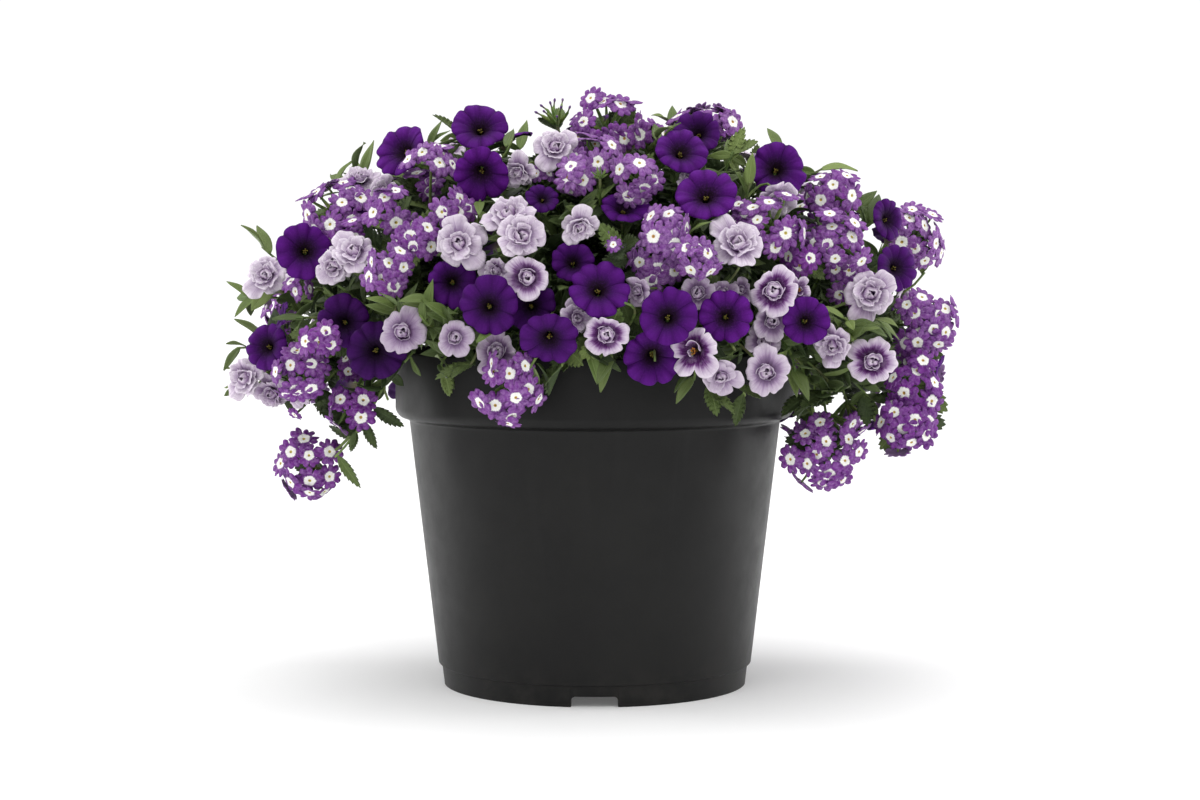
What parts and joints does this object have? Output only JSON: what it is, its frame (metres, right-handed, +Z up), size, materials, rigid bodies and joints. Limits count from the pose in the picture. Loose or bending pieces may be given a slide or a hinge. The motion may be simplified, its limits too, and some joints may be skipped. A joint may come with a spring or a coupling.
{
  "type": "mixed petunia and verbena patio pot",
  "caption": "Free-standing round nursery pot with a stepped collar, filled with a dome of trailing violet and lilac small petunias and purple verbena.",
  "frame": {"origin": "centre of the pot's foot ring, on the ground", "axes": "+Z up, +X to the right and +Y away from a person looking at the front; the plant is widest along X"},
  "size_m": [0.451, 0.3828, 0.3742],
  "materials": {
    "pot_plastic": "satin charcoal, fine moulded grain",
    "potting_mix": "matt, crumbly",
    "violet_petal": "velvety petal",
    "lilac_petal": "soft petal",
    "verbena_petal": "soft petal, mottled",
    "foliage": "satin leaf"
  },
  "bodies": {
    "root": {"verbena_spray_01": "verbena_petal", "verbena_spray_02": "verbena_petal", "verbena_spray_03": "verbena_petal", "violet_calibrachoa_spray_01": "violet_petal", "verbena_spray_04": "verbena_petal", "violet_calibrachoa_spray_02": "violet_petal", "lilac_calibrachoa_spray_01": "lilac_petal", "verbena_spray_05": "verbena_petal", "lilac_calibrachoa_spray_02": "lilac_petal", "verbena_spray_06": "verbena_petal", "verbena_spray_07": "verbena_petal", "verbena_spray_08": "verbena_petal", "verbena_spray_09": "verbena_petal", "lilac_calibrachoa_spray_03": "lilac_petal", "verbena_spray_10": "verbena_petal", "lilac_calibrachoa_spray_04": "lilac_petal", "violet_calibrachoa_spray_03": "violet_petal", "violet_calibrachoa_spray_04": "violet_petal", "lilac_calibrachoa_spray_05": "lilac_petal", "lilac_calibrachoa_spray_06": "lilac_petal", "lilac_calibrachoa_spray_07": "lilac_petal", "lilac_calibrachoa_spray_08": "lilac_petal", "violet_calibrachoa_spray_05": "violet_petal", "lilac_calibrachoa_spray_09": "lilac_petal", "verbena_spray_11": "verbena_petal", "violet_calibrachoa_spray_06": "violet_petal", "verbena_spray_12": "verbena_petal", "violet_calibrachoa_spray_07": "violet_petal", "verbena_spray_13": "verbena_petal", "violet_calibrachoa_spray_08": "violet_petal", "verbena_spray_14": "verbena_petal", "lilac_calibrachoa_spray_10": "lilac_petal", "verbena_spray_15": "verbena_petal", "lilac_calibrachoa_spray_11": "lilac_petal", "violet_calibrachoa_spray_09": "violet_petal", "lilac_calibrachoa_spray_12": "lilac_petal", "violet_calibrachoa_spray_10": "violet_petal", "lilac_calibrachoa_spray_13": "lilac_petal", "verbena_spray_16": "verbena_petal", "violet_calibrachoa_spray_11": "violet_petal", "leafy_shoot_01": "foliage", "leafy_shoot_02": "foliage", "leafy_shoot_03": "foliage", "leafy_shoot_04": "foliage", "leafy_shoot_05": "foliage", "leafy_shoot_06": "foliage", "leafy_shoot_07": "foliage", "leafy_shoot_08": "foliage", "leafy_shoot_09": "foliage", "leafy_shoot_10": "foliage", "leafy_shoot_11": "foliage", "leafy_shoot_12": "foliage", "leafy_shoot_13": "foliage", "leafy_shoot_14": "foliage", "leafy_shoot_15": "foliage", "pot": "pot_plastic", "potting_soil": "potting_mix"}
  },
  "joints": []
}
